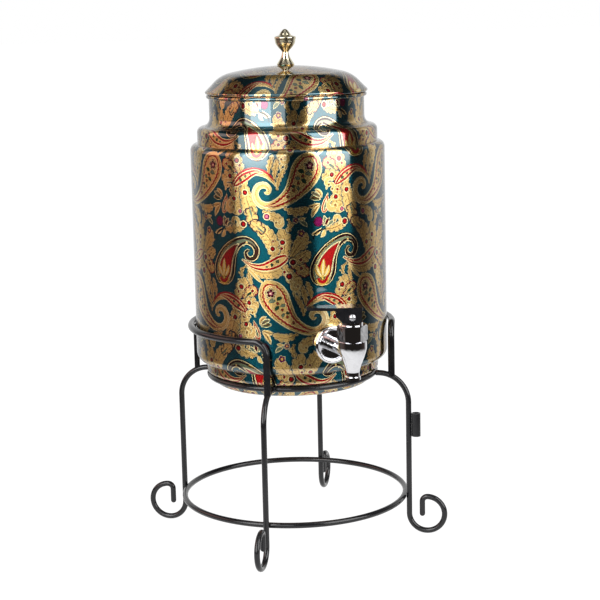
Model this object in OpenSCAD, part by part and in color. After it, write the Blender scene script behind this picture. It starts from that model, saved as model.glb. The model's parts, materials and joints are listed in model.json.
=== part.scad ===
// Copper water dispenser: a pot with a lid and a self-closing tap, on a wire stand.
// Millimetres, +Z up. The origin is on the floor under the pot's axis. The tap faces -Y.

/* [Pot] */
// Outer radius of the pot's body
pot_r = 85; // [75:1:95]
// Sheet thickness of the pot and the lid
wall = 1; // [0.8:0.1:1.5]
// Height of the body's straight and rounded wall, from its lower edge to the top of its rounding
body_h = 192.5; // [180:0.5:240]
// Rounding at the body's lower edge
body_low_round = 8; // [6:0.5:10]
// Rounding at the body's upper edge
body_top_round = 6; // [4:0.5:8]
// How far the shoulder step stands in from the body
shoulder_in = 6.3; // [5:0.1:9]
// Height of the shoulder step
shoulder_h = 14.5; // [10:0.5:20]
// Rounding at the shoulder's upper edge
shoulder_round = 5; // [3:0.5:6]
// How far the neck stands in from the body
neck_in = 17.3; // [15:0.1:22]
// Radius of the hollow where the shoulder runs into the neck
neck_cove = 7; // [4:0.5:8]
// Height of the neck, from the shoulder to the middle of the rolled rim
neck_h = 25.5; // [20:0.5:40]
// Radius of the rolled rim's bead
rim_bead = 1.7; // [1.4:0.1:2]
// Height of the tapered seat that rests on the stand's ring
seat_h = 10.2; // [8:0.2:14]
// How far the seat stands in from the body
seat_in = 8; // [7.5:0.1:9]
// Depth of the foot that drops inside the stand's ring
foot_h = 10.8; // [8:0.2:14]

/* [Lid] */
// Height of the lid's crown above its rim bead
crown_h = 21.7; // [16:0.1:26]
// Radius of the crown's sweep
crown_r = 220; // [180:10:400]
// Rounding between the crown and the sloping side
lid_round = 28; // [16:1:30]
// Slope of the lid's side above the level
lid_slope = 50; // [46:1:54]
// Depth of the locating skirt below the rim bead
skirt_h = 13; // [8:1:18]
// Height of the knob
knob_h = 31.1; // [29:0.1:36]

/* [Tap] */
// Height of the tap's inlet above the pot's body edge
tap_up = 27; // [25:0.5:40]
// Distance of the tap's barrel from the face of the pot
tap_out = 42; // [40:0.5:46]
// Diameter of the wall flange
flange_d = 32.5; // [28:0.5:34]
// Diameter of the inlet shank
shank_d = 12; // [11:0.5:13]
// Diameter of the barrel
barrel_d = 23.7; // [23:0.1:26]
// Width across the flats of the bonnet nut
bonnet_af = 22; // [21:0.5:23]
// Turn of the bonnet nut about the barrel
bonnet_turn = -23; // [-30:1:30]
// Diameter of the outlet's neck
nozzle_d = 11; // [10:0.5:12]
// Bore of the outlet
outlet_bore = 7; // [5:0.5:7.5]
// Length of the lever's paddle, from the barrel to its tip
paddle_l = 37.5; // [30:0.5:40]
// Width of the lever's paddle over its block
paddle_w = 16.5; // [14:0.5:18]
// Width of the paddle's round tip
paddle_tip_w = 9; // [6:0.5:12]
// Thickness of the lever's paddle
paddle_t = 2.3; // [2:0.1:3]
// How far the lever tips when it is pressed, degrees
press_angle = 30; // [15:1:30]
// How the lever is turned about the barrel, as it is left
lever_turn = -23; // [-25:1:25]

/* [Stand] */
// Rod of the legs, rings and back posts
rod_d = 5; // [4.5:0.5:5.5]
// Rod of the guard rail
rail_d = 6; // [5.5:0.5:6.5]
// Height of the support ring above the floor
support_z = 146; // [140:1:170]
// Middle radius of the base ring
base_ring_r = 100; // [96:1:104]
// Height of the base ring above the floor
base_ring_z = 33.5; // [32:0.5:60]
// Radius of the bend at the top of each leg
arch_r = 26; // [24:1:28]
// Radius of the first bend of each foot scroll
scroll_r = 15.5; // [15:0.5:18]
// Length of the straight end of each foot scroll
scroll_tail = 11; // [6:1:12]
// Height of the guard rail above the floor
rail_z = 190; // [186:1:196]
// Radius of the bends at the guard rail's ends
rail_bend = 12; // [8:1:14]
// Outside diameter of the holder socket
socket_d = 8; // [8:0.5:10]
// Bore of the holder socket
socket_bore = 6; // [5:0.5:6.5]
// Length of the holder socket
socket_l = 21; // [15:1:30]
// Turn of the stand about the pot, as it is set down
stand_turn = 8; // [0:1:12]

/* [Hidden] */
$fn = 120;
ROD_FN = 32;
WIDE_FN = 360;

// Named clearances
seat_gap = 0.3;
rail_gap = 1.3;
lid_gap = 0.5;
shaft_gap = 0.05;
hole_gap = 0.15;
slot_gap = 0.3;
face_gap = 0.1;
weld_bite = 0.4;
side_gap = 0.1;
ring_inset = 0.5;
foot_gap = 1;
flange_gap = 0.4;
over = 1;

// Stand, derived
rod_r = rod_d / 2;
rail_rod_r = rail_d / 2;
leg_r = base_ring_r + rod_d + side_gap;
arch_cx = leg_r - arch_r;
support_r = pot_r - seat_in - rod_r - ring_inset;
arch_cz = support_z - arch_r;
arch_in = support_r + rod_r - weld_bite;
scroll_z = scroll_r + rod_r;
scroll_wind = [-0.7, 0.3, 10.7];
scroll_2 = scroll_r - scroll_wind[0];
scroll_3 = scroll_r - scroll_wind[1];
scroll_4 = scroll_r - scroll_wind[2];
rail_r = pot_r + rail_gap + rail_rod_r;
rail_swing = atan(rail_bend / rail_r);
front_left = stand_turn - 45;
front_right = stand_turn + 45;
back_right = stand_turn + 135;
back_left = stand_turn - 135;
front_post_r = sqrt(rail_r * rail_r + rail_bend * rail_bend);
front_post_low = arch_cz + sqrt(arch_r * arch_r - pow(front_post_r - arch_cx, 2));
post_bite = 1.2;
socket_up = 56;
post_low = arch_cz + sqrt(arch_r * arch_r - pow(rail_r - arch_cx, 2)) + rod_r - post_bite;
post_high = rail_z - rail_rod_r + weld_bite;
socket_r = leg_r + rod_r + socket_d / 2 + side_gap;
socket_z = base_ring_z + socket_up;

// Pot, derived
seat_r = pot_r - seat_in;
seat_z = support_z + rod_r + seat_gap;
foot_r = support_r - rod_r - foot_gap;
foot_z = seat_z - foot_h;
foot_round = 6;
seat_round = 3.5;
foot_lip = 6.5;
floor_r = foot_r - foot_round - seat_gap;
body_z = seat_z + seat_h;
body_top = body_z + body_h;
shoulder_r = pot_r - shoulder_in;
shoulder_top = body_top + shoulder_h;
neck_r = pot_r - neck_in;
rim_z = shoulder_top + neck_h;
rim_out = 0.6;
rim_r = neck_r + rim_out;

// Lid, derived
lid_bead = rim_bead - side_gap;
lid_out = 0.9;
lid_rim_r = rim_r + lid_out;
lid_rim_z = rim_z + sqrt(pow(rim_bead + lid_bead + lid_gap, 2) - lid_out * lid_out);
lid_top = lid_rim_z + crown_h;
crown_z = lid_top - crown_r;
side_n = [sin(lid_slope), cos(lid_slope)];
side_run = cos(lid_slope) / sin(lid_slope);
lid_side_out = 0.94;
// The round stands this much proud, so it meets the crown and the side at clear edges
round_proud = 0.02;
side_span = crown_r - lid_round;
side_reach = lid_rim_r + lid_side_out - lid_round * side_n[0]
  - (crown_z + lid_round * side_n[1] - lid_rim_z) * side_run;
side_turn = lid_slope - acos(side_reach * sin(lid_slope) / side_span);
skirt_r = neck_r - wall - lid_gap;
knob_step = 3;
knob_foot_r = 7;
// Turned line of the knob from its foot to its rim, as [radius, share of its height]
knob_line = [
  [7.75, 0.028], [5.3, 0.15], [3.9, 0.235], [2.85, 0.345], [3.5, 0.405], [5.7, 0.482],
  [7.5, 0.555], [8.5, 0.615], [8.9, 0.69], [9.35, 0.755]
];
knob_rim_share = 0.775;
knob_cap_share = 0.83;
// Turned line of the pointed cap over the rim
knob_cap = [[5.1, 0.84], [3.7, 0.915], [2, 0.972], [0.8, 0.996]];
stud_r = 2;
stud_in = 6;
nut_af = 7;
nut_h = 3.2;

// Tap, derived
tap_z = body_z + tap_up;
tap_y = -(pot_r + tap_out);
shank_r = shank_d / 2;
shank_wall = 2;
shank_bore = shank_r - shank_wall;
shank_in = 12;
seal_t = 1.8;
seal_r = 11;
flange_back = pot_r + flange_gap;
flange_t = 5.2;
flange_plate = 3.4;
flange_rim = 2;
barrel_r = barrel_d / 2;
barrel_rise = 10.3;
barrel_top = tap_z + barrel_rise;
nozzle_r = nozzle_d / 2;
// Side of the bowl: share of the way from the outlet's neck to the barrel, and height from the inlet
bowl_line = [[1, 5.2], [0.95, 3], [0.76, -1.2], [0.49, -6], [0.26, -10], [0.11, -13.2], [0, -15.8]];
bowl_step = 3;
nozzle_drop = 22.1;
nozzle_z = tap_z - nozzle_drop;
lip_out = 0.9;
lip_r = nozzle_r + lip_out;
lip_h = 3;
lip_round = 0.8;
barrel_wall = 4.2;
cavity_r = barrel_r - barrel_wall;
seat_drop = 4.2;
seat_floor = tap_z - seat_drop;
bonnet_h = 13.6;
bonnet_top = barrel_top + bonnet_h;
spigot_h = 2.1;
chamber_r = 5.7;
roof_t = 2.4;
chamber_roof = bonnet_top - roof_t;
collar_r = 8.9;
collar_z = bonnet_top + face_gap;
collar_rise = 2.4;
collar_top = bonnet_top + collar_rise;
stem_r = 2.5;
cup_r = 6.2;
cup_z = seat_floor + face_gap;
cup_h = 4;
shoulder_disc_r = 5;
shoulder_disc_t = 1.6;
disc_z = cup_z + cup_h;
pin_rise = 4.9;
pin_z = collar_top + pin_rise;
pin_r = 1.5;
pin_head_r = 2.85;
pin_head_t = 1.7;
pin_dome_r = 3.6;
stem_past = 2.4;
stem_top = pin_z + stem_past;
block_z = collar_top + slot_gap;
block_rise = 10.8;
block_top = collar_top + block_rise;
block_edge = 1;
block_cheek = 4.5;
paddle_corner = 2;
paddle_sink = 0.2;
block_w = 17;
block_left = 13.6;
heel_left = 8;
block_right = 7.8;
slot_w = 2 * stem_r + 2 * slot_gap;
slot_left = stem_r / cos(press_angle) + (pin_z - block_z) * tan(press_angle) + slot_gap;
slot_right = stem_r + (stem_top - pin_z) * sin(press_angle) + slot_gap;
slot_top = pin_z + sqrt(pow(stem_top - pin_z, 2) + stem_r * stem_r) + slot_gap;
press_lift = heel_left * press_angle * PI / 180;
spring_wire = 1;
spring_r = 4.4;
spring_turns = 5;
spring_low = disc_z + shoulder_disc_t + spring_wire / 2 + face_gap;
spring_high = chamber_roof - spring_wire / 2 - face_gap;
spring_pitch = (spring_high - spring_low) / spring_turns;
spring_self_gap = spring_pitch - press_lift / spring_turns - spring_wire;
echo(spring_self_gap = spring_self_gap);
assert(spring_self_gap > 0.4, "the spring's curls touch when the lever is pressed");

// A smooth line through points, in n steps from each to the next
function smooth_line(p, n) = concat([
  for (i = [0:len(p) - 2])
    for (k = [0:n - 1])
      let (
        t = k / n,
        a = p[max(i - 1, 0)],
        b = p[i],
        c = p[i + 1],
        d = p[min(i + 2, len(p) - 1)]
      )
      0.5 * (2 * b + (c - a) * t + (2 * a - 5 * b + 4 * c - d) * t * t
        + (3 * b - a - 3 * c + d) * t * t * t)
], [p[len(p) - 1]]);

// A rod bent about a point in the X-Z plane, from angle a0 to a1
module bend_xz(c, r, a0, a1, d) {
  translate([c[0], 0, c[1]])
    rotate([90, 0, 0])
      rotate([0, 0, a0])
        rotate_extrude(angle = a1 - a0)
          translate([r, 0])
            circle(d = d, $fn = ROD_FN);
}

// A ring of round rod lying level
module rod_ring(r, z, d) {
  translate([0, 0, z])
    rotate_extrude()
      translate([r, 0])
        circle(d = d, $fn = ROD_FN);
}

// Turns a piece made along +X to face a compass angle that counts from -Y towards +X
module facing(az) {
  rotate([0, 0, az - 90])
    children();
}

// The bend at the top of a leg, as a cutter for the posts that stand on it
module leg_arch() {
  bend_xz([arch_cx, arch_cz], arch_r, 0, 90, rod_d);
}

// One leg: run out from the ring, top bend, straight and foot scroll, all in one upright plane
module leg() {
  translate([arch_in, 0, support_z])
    rotate([0, 90, 0])
      cylinder(h = arch_cx - arch_in, d = rod_d);
  bend_xz([arch_cx, arch_cz], arch_r, 0, 90, rod_d);
  translate([leg_r, 0, scroll_z])
    cylinder(h = arch_cz - scroll_z, d = rod_d);
  bend_xz([leg_r + scroll_r, scroll_z], scroll_r, 180, 270, rod_d);
  bend_xz([leg_r + scroll_r, scroll_2 + rod_r], scroll_2, 270, 360, rod_d);
  x3 = leg_r + scroll_r + scroll_2 - scroll_3;
  z3 = scroll_2 + rod_r;
  bend_xz([x3, z3], scroll_3, 0, 90, rod_d);
  z4 = z3 + scroll_3 - scroll_4;
  bend_xz([x3, z4], scroll_4, 90, 180, rod_d);
  translate([x3 - scroll_4, 0, z4 - scroll_tail])
    cylinder(h = scroll_tail, d = rod_d);
  translate([x3 - scroll_4, 0, z4 - scroll_tail])
    sphere(d = rod_d);
}

// One end of the guard rail, bent down over a front leg; side is +1 or -1 along the rail
module rail_end(az, side) {
  end_az = az - side * rail_swing;
  mirror_y = side > 0 ? 0 : 1;
  difference() {
    facing(end_az)
      translate([rail_r, 0, rail_z - rail_bend])
        mirror([0, mirror_y, 0]) {
          rotate([90, 0, 90])
            rotate_extrude(angle = 90)
              translate([rail_bend, 0])
                circle(d = rail_d, $fn = ROD_FN);
          translate([0, rail_bend, front_post_low - rail_z + rail_bend])
            cylinder(h = rail_z - rail_bend - front_post_low, d = rail_d);
        }
    facing(az)
      leg_arch();
  }
}

// A short post between a back leg and the guard rail
module back_post(az) {
  facing(az)
    translate([rail_r, 0, post_low])
      cylinder(h = post_high - post_low, d = rod_d);
}

module support_ring() {
  color("#1b1b1d")
    rod_ring(support_r, support_z, rod_d);
}

module base_ring() {
  color("#1b1b1d")
    rod_ring(base_ring_r, base_ring_z, rod_d);
}

module leg_front_left() {
  color("#1b1b1d")
    facing(front_left)
      leg();
}

module leg_front_right() {
  color("#1b1b1d")
    facing(front_right)
      leg();
}

module leg_back_left() {
  color("#1b1b1d")
    facing(back_left)
      leg();
}

module leg_back_right() {
  color("#1b1b1d")
    facing(back_right)
      leg();
}

module guard_rail() {
  color("#1b1b1d")
    translate([0, 0, rail_z])
      rotate([0, 0, front_right + rail_swing - 90])
        rotate_extrude(angle = 270 - 2 * rail_swing)
          translate([rail_r, 0])
            circle(d = rail_d, $fn = ROD_FN);
}

module rail_end_left() {
  color("#1b1b1d")
    rail_end(front_left, 1);
}

module rail_end_right() {
  color("#1b1b1d")
    rail_end(front_right, -1);
}

module post_back_left() {
  color("#1b1b1d")
    back_post(back_left);
}

module post_back_right() {
  color("#1b1b1d")
    back_post(back_right);
}

module holder_socket() {
  color("#1b1b1d")
    facing(front_right)
      translate([socket_r, 0, socket_z])
        difference() {
          cylinder(h = socket_l, d = socket_d);
          translate([0, 0, -over])
            cylinder(h = socket_l + 2 * over, d = socket_bore);
        }
}

// Half outline of a straight-sided stretch with rounded lower and upper edges
module tier(r, z0, z1, low, top) {
  translate([0, z0 + low])
    square([r, z1 - z0 - low - top]);
  translate([0, z0])
    square([r - low, z1 - z0 - top]);
  translate([0, z0 + low])
    square([r - top, z1 - z0 - low]);
  if (low > 0)
    translate([r - low, z0 + low])
      circle(r = low);
  if (top > 0)
    translate([r - top, z1 - top])
      circle(r = top);
}

// Half outline of the pot, drawn in by t from its outside
module pot_outline(t, top) {
  tier(foot_r - t, foot_z + t, seat_z + 4 + t, foot_round - t, 0);
  tier(seat_r - t, seat_z + t, body_z + 4 + t, seat_round - t, 0);
  tier(pot_r - t, body_z + t, body_top - t, body_low_round - t, body_top_round - t);
  tier(shoulder_r - t, body_top - 10, shoulder_top - t, 0, shoulder_round - t);
  translate([0, shoulder_top - t - 1])
    square([neck_r - t, top - shoulder_top + t + 1]);
  difference() {
    translate([neck_r - t - 1, shoulder_top - t - 1])
      square([neck_cove + 1 + t, neck_cove + 1 + t]);
    translate([neck_r + neck_cove, shoulder_top + neck_cove])
      circle(r = neck_cove + t);
  }
}

// The pot's sheet between two heights and outside a radius, as a half outline
module pot_sheet(z0, z1, r0) {
  intersection() {
    translate([r0, z0])
      square([pot_r + over - r0, z1 - z0]);
    difference() {
      pot_outline(0, rim_z);
      pot_outline(wall, rim_z + over);
    }
  }
}

// The floor disc lies on the foot's inner lip
module pot_floor() {
  color("#b8763f")
    translate([0, 0, foot_z + wall])
      cylinder(h = wall, r = floor_r);
}

module pot_foot() {
  color("#b8763f")
    rotate_extrude()
      pot_sheet(foot_z, seat_z, foot_r - foot_round - foot_lip);
}

module pot_seat() {
  color("#b8763f")
    rotate_extrude()
      pot_sheet(seat_z, body_z + body_low_round, foot_r - foot_round);
}

module pot_body() {
  color("#b8763f")
    difference() {
      rotate_extrude()
        pot_sheet(body_z + body_low_round, body_top - body_top_round, seat_r);
      translate([0, -pot_r + 15, tap_z])
        rotate([90, 0, 0])
          cylinder(h = 30, r = shank_r + hole_gap);
    }
}

module pot_shoulder() {
  color("#b8763f")
    rotate_extrude()
      pot_sheet(body_top - body_top_round, shoulder_top + neck_cove, neck_r - 2 * wall);
}

module pot_neck() {
  color("#b8763f")
    rotate_extrude() {
      pot_sheet(shoulder_top + neck_cove, rim_z, neck_r - 2 * wall);
      translate([rim_r, rim_z])
        circle(r = rim_bead);
    }
}

// Turns a lathe piece so that its axis runs outwards along -Y at the tap's height
module along_tap(y) {
  translate([0, -y, tap_z])
    rotate([90, 0, 0])
      children();
}

module tap_flange() {
  rim_x = flange_d / 2 - flange_rim;
  rim_z = flange_t - flange_rim;
  color("#d8d8dc")
    along_tap(flange_back)
      difference() {
        rotate_extrude() {
          translate([shank_r + hole_gap, 0])
            square([rim_x - shank_r - hole_gap, flange_plate]);
          translate([rim_x - over, 0])
            square([flange_rim + over - round_proud, rim_z]);
          translate([rim_x, rim_z])
            circle(r = flange_rim);
        }
        translate([0, 0, -over])
          cylinder(h = seal_t + over, r = seal_r + hole_gap);
      }
}

module outer_seal() {
  color("#202020")
    difference() {
      along_tap(pot_r - 2)
        difference() {
          cylinder(h = flange_back + seal_t - pot_r + 2, r = seal_r);
          translate([0, 0, -over])
            cylinder(h = 10, r = shank_r + shaft_gap);
        }
      cylinder(h = body_top, r = pot_r, $fn = WIDE_FN);
    }
}

module inner_seal() {
  color("#202020")
    intersection() {
      along_tap(pot_r - wall - 3.5)
        difference() {
          cylinder(h = 6, r = seal_r);
          translate([0, 0, -over])
            cylinder(h = 10, r = shank_r + shaft_gap);
        }
      cylinder(h = body_top, r = pot_r - wall, $fn = WIDE_FN);
    }
}

module lock_nut() {
  color("#c8a24a")
    along_tap(pot_r - wall - 3.5 - 5)
      difference() {
        cylinder(h = 5, d = 20 / cos(30), $fn = 6);
        translate([0, 0, -over])
          cylinder(h = 5 + 2 * over, r = shank_r + shaft_gap);
      }
}

// Outside of the tap's barrel, bowl and outlet, as a half outline
module barrel_outline() {
  side = smooth_line(bowl_line, bowl_step);
  polygon(concat(
    [[0, nozzle_z], [0, barrel_top], [barrel_r, barrel_top]],
    [for (q = side) [nozzle_r + (barrel_r - nozzle_r) * q[0], tap_z + q[1]]],
    [[nozzle_r, nozzle_z]]
  ));
  translate([0, nozzle_z])
    square([lip_r, lip_h - lip_round]);
  translate([0, nozzle_z + lip_round])
    square([lip_r - lip_round, lip_h - lip_round]);
  translate([lip_r - lip_round, nozzle_z + lip_h - lip_round])
    circle(r = lip_round);
}

module tap_body() {
  color("#d8d8dc")
    difference() {
      union() {
        translate([0, tap_y, 0])
          rotate_extrude()
            intersection() {
              barrel_outline();
              translate([0, nozzle_z])
                square([barrel_r + over, barrel_top - nozzle_z]);
            }
        along_tap(pot_r - shank_in)
          cylinder(h = tap_out + shank_in - cavity_r, r = shank_r);
      }
      translate([0, tap_y, seat_floor])
        cylinder(h = barrel_top - seat_floor + over, r = cavity_r);
      translate([0, tap_y, nozzle_z - over])
        cylinder(h = seat_floor - nozzle_z + 2 * over, d = outlet_bore);
      along_tap(pot_r - shank_in - over)
        cylinder(h = tap_out + shank_in + over, r = shank_bore);
    }
}

module tap_bonnet() {
  color("#d8d8dc")
    translate([0, tap_y, 0])
      difference() {
        union() {
          intersection() {
            rotate([0, 0, bonnet_turn])
              translate([0, 0, barrel_top])
                cylinder(h = bonnet_top - barrel_top, d = bonnet_af / cos(30), $fn = 6);
            rotate_extrude()
              polygon([
                [0, barrel_top],
                [bonnet_af / 2, barrel_top],
                [bonnet_af / 2 + 2, barrel_top + 1.4],
                [bonnet_af / 2 + 2, bonnet_top - 1.4],
                [bonnet_af / 2, bonnet_top],
                [0, bonnet_top]
              ]);
          }
          translate([0, 0, barrel_top - spigot_h])
            cylinder(h = spigot_h + over, r = cavity_r - shaft_gap);
        }
        translate([0, 0, barrel_top - spigot_h - over])
          cylinder(h = chamber_roof - barrel_top + spigot_h + over, r = chamber_r);
        cylinder(h = bonnet_top + over, r = stem_r + shaft_gap);
      }
}

// Points of one ring of the spring, square to its climb
function spring_ring(i, rings, sides) = [
  for (k = [0:sides - 1])
    let (
      a = 360 * spring_turns * i / rings,
      z = spring_low + (spring_high - spring_low) * i / rings,
      b = 360 * k / sides
    )
    [
      (spring_r + spring_wire / 2 * cos(b)) * cos(a),
      (spring_r + spring_wire / 2 * cos(b)) * sin(a) + tap_y,
      z + spring_wire / 2 * sin(b)
    ]
];

module tap_spring() {
  sides = 6;
  rings = 8 * spring_turns;
  points = [for (i = [0:rings]) for (p = spring_ring(i, rings, sides)) p];
  skin = [
    for (i = [0:rings - 1])
      for (k = [0:sides - 1])
        let (
          a = i * sides + k,
          b = i * sides + (k + 1) % sides
        )
        for (f = [[a, b, b + sides], [a, b + sides, a + sides]])
          f
  ];
  low_cap = [for (k = [0:sides - 1]) sides - 1 - k];
  high_cap = [for (k = [0:sides - 1]) rings * sides + k];
  color("#9a9aa0")
    polyhedron(points = points, faces = concat([low_cap], [high_cap], skin), convexity = 8);
}

module thrust_collar() {
  color("#d8d8dc")
    translate([0, tap_y, collar_z])
      difference() {
        cylinder(h = collar_top - collar_z, r = collar_r);
        translate([0, 0, -over])
          cylinder(h = 10, r = stem_r + shaft_gap);
      }
}

module valve_stem() {
  color("#c8c8cc")
    translate([0, tap_y, 0])
      difference() {
        union() {
          translate([0, 0, cup_z + 1.5])
            cylinder(h = stem_top - cup_z - 1.5, r = stem_r);
          translate([0, 0, disc_z])
            cylinder(h = shoulder_disc_t, r = shoulder_disc_r);
        }
        rotate([0, 0, lever_turn])
          translate([0, 10, pin_z])
            rotate([90, 0, 0])
              cylinder(h = 20, r = pin_r + shaft_gap);
      }
}

module seat_cup() {
  color("#e6e2da")
    translate([0, tap_y, cup_z])
      difference() {
        cylinder(h = cup_h, r = cup_r);
        translate([0, 0, 1.5])
          cylinder(h = cup_h, r = stem_r + shaft_gap);
      }
}

module pivot_pin() {
  color("#d8d8dc")
    translate([0, tap_y, pin_z])
      rotate([0, 0, lever_turn])
        rotate([90, 0, 0]) {
          translate([0, 0, -block_w / 2 - 0.6])
            cylinder(h = block_w + 0.6 + face_gap + pin_head_t / 2, r = pin_r);
          translate([0, 0, block_w / 2 + face_gap])
            rotate_extrude()
              intersection() {
                square([pin_head_r, pin_head_t]);
                translate([0, pin_head_t - pin_dome_r])
                  circle(r = pin_dome_r);
              }
        }
}

// Outline of the paddle from above, narrowing to a full round at its tip
module paddle_outline() {
  tip_x = -paddle_l + paddle_tip_w / 2;
  translate([tip_x, 0])
    circle(d = paddle_tip_w);
  polygon([
    [tip_x, -paddle_tip_w / 2 + round_proud],
    [-block_left, -paddle_w / 2],
    [block_right - paddle_corner, -paddle_w / 2],
    [block_right - paddle_corner, paddle_w / 2],
    [-block_left, paddle_w / 2],
    [tip_x, paddle_tip_w / 2 - round_proud]
  ]);
  translate([block_right - paddle_corner, -paddle_w / 2 + paddle_corner])
    square([paddle_corner + block_edge, paddle_w - 2 * paddle_corner]);
  for (s = [-1, 1])
    translate([block_right + block_edge - paddle_corner, s * (paddle_w / 2 - paddle_corner)])
      circle(r = paddle_corner);
}

module lever() {
  color("#141416")
    translate([0, tap_y, 0])
      rotate([0, 0, lever_turn])
      difference() {
        union() {
          translate([0, block_w / 2, 0])
            rotate([90, 0, 0])
              linear_extrude(height = block_w)
                polygon([
                  [-heel_left, block_z],
                  [block_right - block_edge, block_z],
                  [block_right, block_z + block_edge],
                  [block_right, block_top],
                  [-block_left, block_top],
                  [-block_left, block_top - block_cheek]
                ]);
          translate([0, 0, block_top - paddle_sink])
            linear_extrude(height = paddle_t + paddle_sink)
              paddle_outline();
        }
        translate([-slot_left, -slot_w / 2, block_z - over])
          cube([slot_left + slot_right, slot_w, slot_top - block_z + over]);
        translate([0, block_w, pin_z])
          rotate([90, 0, 0])
            cylinder(h = 2 * block_w, r = pin_r + shaft_gap);
      }
}

// Half outline of the lid's dome, drawn in by t from its outside
module dome_outline(t) {
  cr = side_span * sin(side_turn);
  cz = crown_z + side_span * cos(side_turn);
  top_x = cr + (lid_round - t) * side_n[0];
  top_z = cz + (lid_round - t) * side_n[1];
  low_x = top_x + (top_z - lid_rim_z) * side_run;
  half = (top_z - lid_rim_z) / 2;
  intersection() {
    translate([0, crown_z])
      circle(r = crown_r - t, $fn = 2 * WIDE_FN);
    polygon([
      [0, cz],
      [cr, cz],
      [cr + (lid_top + over - cz) * cr / (cz - crown_z), lid_top + over],
      [0, lid_top + over]
    ]);
  }
  translate([cr, cz])
    circle(r = lid_round - t + round_proud);
  polygon([
    [0, lid_rim_z],
    [low_x, lid_rim_z],
    [top_x, top_z],
    [top_x - half * side_n[0] / side_n[1], top_z - half],
    [0, top_z - half]
  ]);
}
module lid_shell() {
  color("#b8763f")
    difference() {
      rotate_extrude() {
        intersection() {
          translate([0, lid_rim_z])
            square([lid_rim_r + 5, crown_h + 5]);
          difference() {
            dome_outline(0);
            dome_outline(wall);
          }
        }
        translate([lid_rim_r, lid_rim_z])
          circle(r = lid_bead);
      }
      translate([0, 0, lid_top - 5])
        cylinder(h = 10, r = stud_r + hole_gap);
    }
}

module lid_skirt() {
  color("#b8763f")
    rotate_extrude() {
      translate([skirt_r - wall, lid_rim_z - skirt_h])
        square([wall, skirt_h + wall]);
      translate([skirt_r - wall, lid_rim_z])
        square([lid_rim_r - lid_bead - skirt_r + wall + 0.2, wall]);
    }
}

module lid_knob() {
  side = concat(
    [[0, 0], [knob_foot_r, 0]],
    smooth_line(knob_line, knob_step),
    [
      [knob_line[len(knob_line) - 1][0], knob_rim_share],
      [knob_line[len(knob_line) - 1][0] - 0.4, knob_rim_share + 0.014],
      [knob_cap[0][0] + 0.2, knob_cap_share]
    ],
    smooth_line(knob_cap, knob_step),
    [[0, 1]]
  );
  color("#d9b65c")
    difference() {
      rotate_extrude()
        polygon([for (q = side) [q[0], lid_top + knob_h * q[1]]]);
      translate([0, 0, lid_top - over])
        cylinder(h = stud_in + over, r = stud_r + shaft_gap);
    }
}

module knob_stud() {
  color("#c9c9cd")
    translate([0, 0, lid_top - wall - 1 - nut_h - 1.5])
      cylinder(h = wall + 1 + nut_h + 1.5 + stud_in - 0.2, r = stud_r);
}

module knob_washer() {
  color("#c9c9cd")
    translate([0, 0, lid_top - wall - 1 - face_gap])
      difference() {
        cylinder(h = 1, r = 5);
        translate([0, 0, -over])
          cylinder(h = 5, r = stud_r + hole_gap);
      }
}

module knob_nut() {
  color("#c9c9cd")
    translate([0, 0, lid_top - wall - 1 - face_gap - nut_h])
      difference() {
        cylinder(h = nut_h, d = nut_af / cos(30), $fn = 6);
        translate([0, 0, -over])
          cylinder(h = nut_h + 2 * over, r = stud_r + shaft_gap);
      }
}

support_ring();
base_ring();
leg_front_left();
leg_front_right();
leg_back_left();
leg_back_right();
guard_rail();
rail_end_left();
rail_end_right();
post_back_left();
post_back_right();
holder_socket();
pot_floor();
pot_foot();
pot_seat();
pot_body();
pot_shoulder();
pot_neck();
tap_flange();
outer_seal();
inner_seal();
lock_nut();
tap_body();
tap_bonnet();
tap_spring();
thrust_collar();
valve_stem();
seat_cup();
pivot_pin();
lever();
lid_shell();
lid_skirt();
lid_knob();
knob_stud();
knob_washer();
knob_nut();
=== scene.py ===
import json
import math

import bpy
import numpy as np
from mathutils import Matrix, Vector
from mathutils.geometry import delaunay_2d_cdt


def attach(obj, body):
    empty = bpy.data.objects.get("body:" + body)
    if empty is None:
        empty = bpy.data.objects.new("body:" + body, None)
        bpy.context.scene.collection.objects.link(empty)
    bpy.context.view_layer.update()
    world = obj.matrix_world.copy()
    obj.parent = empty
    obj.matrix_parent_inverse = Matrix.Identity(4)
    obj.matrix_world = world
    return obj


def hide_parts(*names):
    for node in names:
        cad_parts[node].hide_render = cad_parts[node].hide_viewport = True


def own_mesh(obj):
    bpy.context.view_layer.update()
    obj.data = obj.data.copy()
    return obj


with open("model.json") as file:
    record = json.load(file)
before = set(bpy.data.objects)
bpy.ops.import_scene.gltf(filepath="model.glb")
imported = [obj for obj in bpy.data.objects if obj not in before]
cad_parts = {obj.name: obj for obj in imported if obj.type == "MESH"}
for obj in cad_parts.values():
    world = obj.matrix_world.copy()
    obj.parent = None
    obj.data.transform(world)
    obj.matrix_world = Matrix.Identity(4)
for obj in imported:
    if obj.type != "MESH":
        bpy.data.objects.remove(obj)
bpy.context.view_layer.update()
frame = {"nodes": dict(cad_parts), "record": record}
nodes = frame["nodes"]
scene = bpy.context.scene

MM = 0.001
VIEW = math.radians(-23)  # the photograph looks at the pot from this azimuth; the tap is at 0


def put(name, data):
    ob = bpy.data.objects.new(name, data)
    scene.collection.objects.link(ob)
    return ob


# ---- camera
CAMERA_OUT, CAMERA_UP = 1.399, 0.470  # metres from the pot's axis and above the floor
TILT, ROLL, YAW = math.radians(10.544), math.radians(1.253), math.radians(0.328)
LENS, SENSOR = 95.84, 36.0  # mm


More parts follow.
